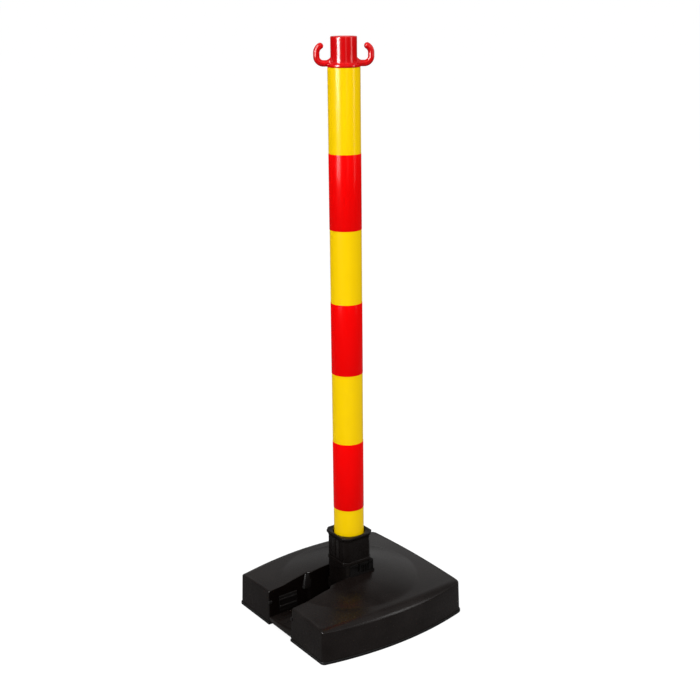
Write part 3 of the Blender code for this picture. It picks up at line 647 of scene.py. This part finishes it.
def fill_top(verts, faces, border):
    """Close the shell inside its last ring with a fine mesh over the dome and the field."""
    count = len(border)
    top = len(verts) - count
    flat = [Vector(p) for p in border + interior_points(border)]
    edges = [(i, (i + 1) % count) for i in range(count)]
    points, _, triangles, sources, _, _ = delaunay_2d_cdt(flat, edges, [tuple(range(count))], 1, 1e-5)
    index = {}
    for i, source in enumerate(sources):
        if source and min(source) < count:
            index[i] = top + min(source)
        else:
            x, y = points[i]
            index[i] = len(verts)
            verts.append((x, y, field_height(x, y)))
    faces += [tuple(index[i] for i in triangle) for triangle in triangles]


def base_shell():
    """Moulded shell: drafted walls, a rolled ridge round the top, and the dome."""
    foot = u_loop(0.0, HALF_END, BULGE, (CORNER_FRONT, CORNER_REAR),
                  (WIDE_BOTTOM, NARROW, SLOT_BACK), MOUTH_ROUND)
    wall = u_loop(DRAFT, HALF_END - DRAFT, BULGE, (CORNER_FRONT - DRAFT, CORNER_REAR - DRAFT),
                  (WIDE_TOP, NARROW, SLOT_BACK), MOUTH_ROUND)
    ridge = u_loop(DRAFT + FILLET, RIDGE_HALF_END, RIDGE_BULGE, RIDGE_CORNERS,
                   (WIDE_TOP + SLOT_FILLET, NARROW + SLOT_FILLET, SLOT_BACK + SLOT_FILLET), RIDGE_MOUTH_ROUND)
    bottom = at_height(foot, SHELL_BOTTOM)
    shoulder = [(x, y, field_height(x, y) - SLOT_FILLET if on_slot(x, y) else wall_top_height(x, y))
                for x, y in wall]
    halfway = [tuple((a + b) / 2.0 for a, b in zip(low, high)) for low, high in zip(bottom, shoulder)]
    rings = [bottom, halfway]
    for inward, upward in arc(1.0, 0.0, 1.0, 180.0, 90.0, FILLET_STEPS):
        rings.append([(x + (rx - x) * inward, y + (ry - y) * inward, z + (field_height(rx, ry) - z) * upward)
                      for (x, y, z), (rx, ry) in zip(shoulder, ridge)])
    verts, faces = loft_data(rings, closed_ends=False)
    faces.append(tuple(reversed(range(len(foot)))))
    fill_top(verts, faces, [(x, y) for x, y, _ in rings[-1]])
    shell = from_points("base_shell_skin", verts, faces, 32.0)
    return dress(shell, SHELL_BLACK, "base", "black_plastic", "base_shell")


# ---------------------------------------------------------------- base details
def slot_floor():
    """Floor of the slot, whose front edge bridges the two arms just above the ground."""
    floor = block("slot_floor", (-SLOT_FLOOR_HALF, SLOT_FLOOR_HALF), (FRONT + 0.25, SLOT_BACK + 0.6),
                  (SLOT_FLOOR_BOTTOM, SLOT_FLOOR_TOP))
    grooves = [block("groove", (x - GROOVE_HALF, x + GROOVE_HALF), (FRONT + 8.0, GROOVE_REAR),
                     (SLOT_FLOOR_TOP - GROOVE_DEPTH, SLOT_FLOOR_TOP + 1.0)) for x in GROOVES_X]
    combine(floor, [joined("grooves", grooves)], "DIFFERENCE")
    soften(floor, 0.5)
    return dress(floor, BASE_BLACK, "base", "black_plastic")


def hinge_housing():
    """Two ears and the back wall that stand out of the dome round the hinge."""
    inner, outer = NARROW - HOUSING_SEAM, NARROW + HOUSING_WALL
    rear = SLOT_BACK + HOUSING_WALL
    right = [(inner, SLOT_BACK), (inner, HOUSING_FRONT), (outer, HOUSING_FRONT),
             (outer, rear - HOUSING_CORNER), (outer - HOUSING_CORNER, rear)]
    plan = right + mirrored(right)
    housing = loft("hinge_housing", [at_height(plan, z) for z in (HOUSING_FOOT, HOUSING_TOP)])
    low_back = block("low_back", (-inner + 0.02, inner - 0.02), (SLOT_BACK - 2.0, rear + 4.0),
                     (HOUSING_BACK_TOP, HOUSING_TOP + 3.0))
    combine(housing, [low_back], "DIFFERENCE")
    raised, slits = [], []
    for side, _ in SIDES:
        raised += [side_block("lip", side, (EAR_ROOT, lip_out), lip_y, lip_z)
                   for lip_out, lip_y, lip_z in EAR_LIPS]
        raised += [side_block("rib", side, (EAR_ROOT, RIB_OUT), (y - RIB_HALF, y + RIB_HALF), RIB_Z)
                   for y in RIBS_Y]
        slits += [side_block("slit", side, SLIT_X, slit_y, SLIT_Z) for slit_y in SLITS_Y]
    combine(housing, raised, "UNION")
    combine(housing, [joined("slits", slits)], "DIFFERENCE")
    soften(housing, 0.35, segments=2)
    # its darker look is painted shade on the same black plastic as the shell
    return dress(housing, HOUSING_SHADED_BLACK, "base", "black_plastic")


def guide_pad(side, word):
    """Pad with two bars along it."""
    pad = side_block("guide_pad_" + word, side, (PAD_FACE, FITTING_ROOT), PAD_Y, PAD_Z)
    bars = [side_block("bar", side, BAR_X, BAR_Y, (z, z + BAR_HEIGHT)) for z in BAR_BOTTOMS]
    return soften(combine(pad, bars, "UNION"), 0.45)


def mouth_tab(side, word):
    return soften(side_block("mouth_tab_" + word, side, TAB_X, TAB_Y, TAB_Z), 0.5)


def snap_barb(side, word):
    plans = [[(side * x, y) for x, y in plan] for plan in (BARB_FOOT, BARB_HEAD)]
    return soften(loft("snap_barb_" + word, [at_height(plan, z) for plan, z in zip(plans, BARB_Z)]), 0.4)


def slot_fittings():
    """Guide pads with bars, mouth tabs and snap barbs on the slot's walls."""
    for side, word in SIDES:
        for make in (guide_pad, mouth_tab, snap_barb):
            # their darker look is painted shade for the slot
            dress(make(side, word), FITTING_SHADED_BLACK, "base", "black_plastic")


def bottom_tray():
    """Closing tray whose rounded rim shows as a dark line round the foot."""
    rings = []
    for inset, z in TRAY_RIM:
        corners = [radius - min(inset, TRAY_CORNER_CUT) for radius in (CORNER_FRONT, CORNER_REAR)]
        slot = (TRAY_SLOT_HALF + inset, TRAY_SLOT_HALF + inset, TRAY_SLOT_BACK + inset)
        rings.append(at_height(u_loop(inset, HALF_END - inset, BULGE, corners, slot, TRAY_MOUTH_ROUND), z))
    return dress(loft("bottom_tray_skin", rings), TRAY_BLACK, "base", "black_plastic", "bottom_tray")


def screw_heads():
    """Countersunk cross-recess heads under the tray."""
    for index in range(1, 7):
        low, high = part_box("tray_screw_%d" % index)
        x, y = (low.x + high.x) / 2.0 / MM, (low.y + high.y) / 2.0 / MM - POST_Y
        face = low.z / MM
        screw = loft("tray_screw_skin_%d" % index,
                     [[(x + across, y + along, face + rise) for across, along in circle(radius, 32)]
                      for radius, rise in SCREW_PROFILE])
        arms = [block("arm", (x - length, x + length), (y - width, y + width),
                      (face - 1.0, face + CROSS_DEPTH))
                for length, width in ((CROSS_LENGTH, CROSS_WIDTH), (CROSS_WIDTH, CROSS_LENGTH))]
        combine(screw, [combine(arms[0], arms[1:], "UNION")], "DIFFERENCE")
        shade(screw, 35.0)
        dress(screw, STEEL, "base", "zinc_steel", "tray_screw_%d" % index)


# ---------------------------------------------------------------- post pieces
def octagon(half_x, half_y, chamfer, round_by, steps=4):
    """Chamfered rectangle with each of its eight corners rounded."""
    flat_x, flat_y = half_x - chamfer, half_y - chamfer
    right = [(flat_x, -half_y), (half_x, -flat_y), (half_x, flat_y), (flat_x, half_y)]
    corners = [Vector(p) for p in right + mirrored(right)]
    points = []
    for i, corner in enumerate(corners):
        start = corner + (corners[i - 1] - corner).normalized() * round_by
        end = corner + (corners[(i + 1) % 8] - corner).normalized() * round_by
        for k in range(steps + 1):
            t = k / steps
            p = start * (1 - t) ** 2 + corner * 2 * t * (1 - t) + end * t ** 2
            points.append((p.x, p.y))
    return points


def grown(section, out):
    """A collar section made larger, or with a minus sign smaller, all round."""
    half_x, half_y, chamfer = section
    return half_x + out, half_y + out, chamfer + out / 2.0


def between(low, high, share):
    return tuple(a + (b - a) * share for a, b in zip(low, high))


def flare():
    """Shares of the way from the neck's section to the mouth's: a hollow arc, then a lip."""
    (low, high), width = FLARE_Z, COLLAR_MOUTH[0] - COLLAR_NECK[0]
    bend = 2.0 * math.degrees(math.atan2(width, high - low))
    hollow = (high - low) / math.sin(math.radians(bend)) - FLARE_LIP
    profile = arc(hollow, low, hollow, 180.0, 180.0 - bend, 5)
    profile += arc(width - FLARE_LIP, high, FLARE_LIP, -bend, 0.0, 4)[1:]
    return [(out / width, z) for out, z in profile]


def collar_levels():
    """Height and section of each ring: plate, groove, neck, flare and rim, edges rounded."""
    (plate_low, plate_high), rim = PLATE_Z, COLLAR_TOP - MOUTH_TOP_ROUND
    profile = arc(-PLATE_ROUND, plate_low + PLATE_ROUND, PLATE_ROUND, -90.0, 0.0, 3)
    profile += arc(-PLATE_ROUND, plate_high - PLATE_ROUND, PLATE_ROUND, 0.0, 90.0, 3)
    levels = [(z, grown(COLLAR_PLATE, out)) for out, z in profile]
    levels += [(z, COLLAR_GROOVE) for z in GROOVE_Z]
    levels += [(z, grown(COLLAR_NECK, out))
               for out, z in arc(-NECK_ROUND, NECK_BOTTOM + NECK_ROUND, NECK_ROUND, -90.0, 0.0, 3)]
    levels += [(z, between(COLLAR_NECK, COLLAR_MOUTH, share)) for share, z in flare()]
    levels += [(z, grown(COLLAR_MOUTH, out))
               for out, z in arc(-MOUTH_TOP_ROUND, rim, MOUTH_TOP_ROUND, 0.0, 90.0, 3)]
    return levels


def socket_collar():
    """Flared collar with two raised strips in front and two screw holes at the back."""
    collar = loft("socket_collar_skin",
                  [at_height(octagon(*section, CORNER_ROUND), z) for z, section in collar_levels()])
    strips = [soften(side_block("strip", side, STRIP_X, STRIP_Y, STRIP_Z), 0.4) for side, _ in SIDES]
    combine(collar, strips, "UNION")
    holes = [loft("hole", [[(x, y, z + rise) for x, rise in circle(COLLAR_HOLE_RADIUS, 24)]
                           for y in (10.0, 40.0)]) for z in COLLAR_HOLES_Z]
    combine(collar, [turned("collar_bore", COLLAR_BORE, 128)] + holes, "DIFFERENCE")
    shade(collar, 38.0)
    return dress(collar, COLLAR_BLACK, "post", "collar_plastic", "socket_collar")


def pivot_knuckle():
    """Hinge foot: rounded heel, flat back stop and chamfered corners."""
    heel_start = -math.degrees(math.acos(FOOT_FRONT / HEEL_RADIUS))
    outline = [(FOOT_FRONT, FOOT_TOP)] + arc(0.0, PIVOT_Z, HEEL_RADIUS, heel_start, 0.0, 48)
    outline.append((HEEL_RADIUS, FOOT_TOP))
    knuckle = loft("pivot_knuckle_skin", [[(x, y, z) for y, z in outline] for x in (-FOOT_HALF, FOOT_HALF)])
    cutters = []
    for side, _ in SIDES:
        for y, inward in ((FOOT_FRONT, 1.0), (HEEL_RADIUS, -1.0)):
            plan = [(side * (FOOT_HALF - FOOT_CHAMFER), y - inward), (side * (FOOT_HALF + 1.0), y - inward),
                    (side * (FOOT_HALF + 1.0), y + inward * FOOT_CHAMFER)]
            cutters.append(loft("wedge", [at_height(plan, z) for z in FOOT_CHAMFER_Z]))
    cutters.append(loft("bore", [[(x, y, PIVOT_Z + rise) for y, rise in circle(PIN_BORE, 48)]
                                 for x in (-40.0, 40.0)]))
    combine(knuckle, cutters, "DIFFERENCE")
    soften(knuckle, 0.7)
    # its darker look is painted shade on the collar's plastic
    return dress(knuckle, KNUCKLE_SHADED_BLACK, "post", "collar_plastic", "pivot_knuckle")


def post_tube():
    """Tube with chamfered ends."""
    inner, outer = TUBE_INNER + TUBE_CHAMFER, TUBE_RADIUS - TUBE_CHAMFER
    low, high = TUBE_BOTTOM + TUBE_CHAMFER_HEIGHT, TUBE_TOP - TUBE_CHAMFER_HEIGHT
    profile = [(TUBE_INNER, low), (inner, TUBE_BOTTOM), (outer, TUBE_BOTTOM)]
    profile += [(TUBE_RADIUS, low + (high - low) * i / TUBE_STEPS) for i in range(TUBE_STEPS + 1)]
    profile += [(outer, TUBE_TOP), (inner, TUBE_TOP), (TUBE_INNER, high)]
    tube = turned_ring("post_tube_skin", profile, TUBE_SIDES)
    return dress(tube, YELLOW, "post", "yellow_pvc", "post_tube")


def red_bands():
    """Thin film bands with worn-round edges."""
    for word, low in BANDS.items():
        high = low + BAND_HEIGHT
        profile = [(radius, low + rise) for radius, rise in FILM_EDGE]
        profile.append((FILM_OUTER, (low + high) / 2.0))
        profile += [(radius, high - rise) for radius, rise in reversed(FILM_EDGE)]
        band = turned_ring("red_band_%s_skin" % word, profile, TUBE_SIDES)
        dress(band, RED_FILM, "post", "red_film", "red_band_" + word)


# ---------------------------------------------------------------- cap
def hook_centre_line():
    """Straight arm, bend upward, then the crook back over the bay, as (outward, z) points."""
    bend_x, bend_z = HOOK_REACH - HOOK_BEND, HOOK_ARM_Z + HOOK_BEND
    points = [(HOOK_START + i, HOOK_ARM_Z) for i in range(ARM_STEPS)]
    points += arc(bend_x, bend_z, HOOK_BEND, -90.0, 0.0, BEND_STEPS)
    points += arc(HOOK_REACH - HOOK_CROOK, bend_z + HOOK_STRAIGHT, HOOK_CROOK,
                  0.0, HOOK_CROOK_ANGLE, CROOK_STEPS)
    return points


def hook(sign):
    """Round rod with a fillet above its root and a domed tip."""
    path = hook_centre_line()
    slices = []
    for i, (x, z) in enumerate(path):
        before, after = path[max(i - 1, 0)], path[min(i + 1, len(path) - 1)]
        slices.append((x, z, math.atan2(after[1] - before[1], after[0] - before[0]), HOOK_RADIUS))
    x, z, heading, _ = slices[-1]
    for radius, ahead in arc(0.0, 0.0, HOOK_RADIUS, 0.0, 89.0, TIP_STEPS)[1:]:
        slices.append((x + ahead * math.cos(heading), z + ahead * math.sin(heading), heading, radius))
    rings = []
    for x, z, heading, radius in slices:
        left = max(0.0, HOOK_FILLET_END - max(x, CAP_RADIUS)) / (HOOK_FILLET_END - CAP_RADIUS)
        rise = HOOK_FILLET * left ** 2
        ring = []
        for across, up in circle(radius, HOOK_SIDES):
            across *= 1.0 + HOOK_WIDENING * rise
            up += rise * max(0.0, up / radius)
            out = sign * (x - up * math.sin(heading))
            ring.append((out * math.cos(CAP_HEADING) - across * math.sin(CAP_HEADING),
                         out * math.sin(CAP_HEADING) + across * math.cos(CAP_HEADING),
                         z + up * math.cos(heading)))
        rings.append(ring)
    return loft("hook", rings, 60.0)


def hook_cap():
    """Spigot, flange and dished body turned as one, with a hook on each side."""
    profile = list(SPIGOT)
    profile += arc(FLANGE_RADIUS - FLANGE_ROUND_LOW, FLANGE_BOTTOM + FLANGE_ROUND_LOW, FLANGE_ROUND_LOW,
                   -90.0, 0.0, 5)
    profile += arc(FLANGE_RADIUS - FLANGE_ROUND_HIGH, FLANGE_TOP - FLANGE_ROUND_HIGH, FLANGE_ROUND_HIGH,
                   0.0, 90.0, 5)
    profile += arc(CAP_RADIUS + CAP_ROOT_ROUND, FLANGE_TOP + CAP_ROOT_ROUND, CAP_ROOT_ROUND, -90.0, -180.0, 8)
    profile += [(CAP_RADIUS, FLANGE_TOP + rise) for rise in CAP_WALL_RINGS]
    profile += arc(CAP_RADIUS - CAP_TOP_ROUND, CAP_TOP - CAP_TOP_ROUND, CAP_TOP_ROUND, 0.0, 90.0, 8)
    profile += [(radius, CAP_TOP - depth) for radius, depth in CAP_DISH]
    cap = joined("hook_cap_skin", [turned("cap_body", profile, CAP_SIDES, 60.0), hook(1.0), hook(-1.0)], 60.0)
    return dress(cap, CAP_RED, "cap", "red_plastic", "hook_cap")


# ---------------------------------------------------------------- carried-over nodes
def dress_frame_nodes():
    """Materials and softened edges for the frame's nodes that are shown as they are."""
    looks = {"ballast_block": CONCRETE, "hinge_pin": STEEL, "pin_clip_left": STEEL, "pin_clip_right": STEEL,
             "socket_screw_1": STEEL, "socket_screw_2": STEEL}
    for name, mat in looks.items():
        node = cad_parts[name]
        if not node.material_slots:
            node.data.materials.append(mat)
        for place in node.material_slots:
            place.material = mat
        edges = node.modifiers.new("soft_edges", "BEVEL")
        edges.width, edges.segments = 0.2 * MM, 2
        edges.limit_method, edges.angle_limit = "ANGLE", math.radians(40.0)


# ---------------------------------------------------------------- floor, sky, lights and camera
def floor():
    """White floor, darker where the object mirrors it far away or to one side."""
    mesh = bpy.data.meshes.new("floor")
    corners = ((-1.0, -1.0), (1.0, -1.0), (1.0, 1.0), (-1.0, 1.0))
    mesh.from_pydata([(x * FLOOR_REACH, y * FLOOR_REACH, 0.0) for x, y in corners], [], [(0, 1, 2, 3)])
    ground = new_object("floor", mesh)
    look = Look("floor_white", (1.0, 1.0, 1.0), 0.9, 0.0)
    place = look.coords["Object"]
    in_mirror = look.calc("MULTIPLY", look.measure("LENGTH", place, (0.0, 0.0, 0.0), FLOOR_FADE),
                          look.measure("DOT_PRODUCT", place, FLOOR_TOWARD, FLOOR_SIDES))
    look.feed(look.shader["Base Color"], look.by_path(look.by_ray(FLOOR_LIT, FLOOR_SEEN), in_mirror))
    look.feed(look.shader["Emission Color"], (1.0, 1.0, 1.0))
    look.feed(look.shader["Emission Strength"], look.by_ray(0.0, FLOOR_GLOW))
    ground.data.materials.append(look.mat)


def sky():
    """White surroundings that the object mirrors darker by height and by side."""
    world = bpy.data.worlds.new("studio")
    bpy.context.scene.world = world
    world.use_nodes = True
    graph = Graph(world.node_tree)
    place = graph.coords["Generated"]
    heights = graph.node("ValToRGB", Fac=graph.axis(place, "Z"))
    stops = heights.color_ramp.elements
    while len(stops) < len(SKY_STOPS):
        stops.new(0.5)
    for stop, (position, grey) in zip(stops, SKY_STOPS):
        stop.position, stop.color = position, (grey, grey, grey, 1.0)
    in_mirror = graph.calc("MULTIPLY", heights.outputs["Color"],
                           graph.measure("DOT_PRODUCT", place, SKY_TOWARD, SKY_SIDES))
    back = graph.tree.nodes["Background"].inputs
    graph.feed(back["Color"], (1.0, 1.0, 1.0))
    graph.feed(back["Strength"], graph.by_path(graph.by_ray(SKY_LIT, SKY_SEEN), in_mirror))


def area_light(name, azimuth, distance, height, aim, size, power, mirrored_only=True):
    """A panel at an azimuth counted from the camera's, turned to a height on the post's axis."""
    light = bpy.data.lights.new(name, "AREA")
    light.shape, light.energy = "RECTANGLE", power
    light.size, light.size_y = size
    obj = new_object(name, light)
    turn = math.radians(CAMERA_AZIMUTH + azimuth)
    obj.location = (distance * math.sin(turn), -distance * math.cos(turn), height)
    obj.rotation_euler = (Vector((0.0, 0.0, aim)) - obj.location).to_track_quat("-Z", "Y").to_euler()
    obj.visible_camera = False
    obj.visible_diffuse, obj.visible_glossy = not mirrored_only, mirrored_only


def lights():
    """A broad light from above, two fills that only light, and three panels that are only mirrored."""
    sun = bpy.data.lights.new("top_light", "SUN")
    sun.energy, sun.angle = TOP_LIGHT_POWER, math.radians(TOP_LIGHT_SPREAD)
    top = new_object("top_light", sun)
    top.rotation_euler = (*(math.radians(tilt) for tilt in TOP_LIGHT_TILT), 0.0)
    for name, azimuth, power in (("left_fill", -51.0, 63.0), ("right_fill", 36.0, 56.0)):
        area_light(name, azimuth, distance=3.0, height=2.6, aim=0.8, size=(1.6, 1.2), power=power,
                   mirrored_only=False)
    area_light("left_box", -46.0, distance=2.0, height=1.42, aim=1.42, size=(0.85, 1.42), power=180.0)
    area_light("front_strip", 19.5, distance=2.4, height=1.2, aim=1.2, size=(0.25, 1.2), power=2.2)
    area_light("right_strip", 71.0, distance=2.2, height=1.2, aim=1.2, size=(0.45, 1.4), power=13.0)


def camera():
    """Camera turned by its azimuth, elevation and roll."""
    azimuth, elevation, roll = (math.radians(v) for v in (CAMERA_AZIMUTH, CAMERA_ELEVATION, CAMERA_ROLL))
    back = Vector((math.sin(azimuth) * math.cos(elevation), -math.cos(azimuth) * math.cos(elevation),
                   math.sin(elevation)))
    right = (-back).cross(Vector((0.0, 0.0, 1.0))).normalized()
    up = right.cross(-back)
    across = math.cos(roll) * right + math.sin(roll) * up
    upward = -math.sin(roll) * right + math.cos(roll) * up
    data = bpy.data.cameras.new("camera")
    data.lens, data.sensor_width = CAMERA_LENS, CAMERA_SENSOR
    data.shift_x, data.shift_y = CAMERA_SHIFT
    obj = new_object("camera", data)
    turn = Matrix((across, upward, back)).transposed().to_4x4()
    obj.matrix_world = Matrix.Translation(CAMERA_PLACE) @ turn
    bpy.context.scene.camera = obj


base_shell()
slot_floor()
hinge_housing()
slot_fittings()
bottom_tray()
screw_heads()
socket_collar()
pivot_knuckle()
post_tube()
red_bands()
hook_cap()
dress_frame_nodes()
floor()
sky()
lights()
camera()
bpy.context.scene.view_settings.view_transform = "Standard"
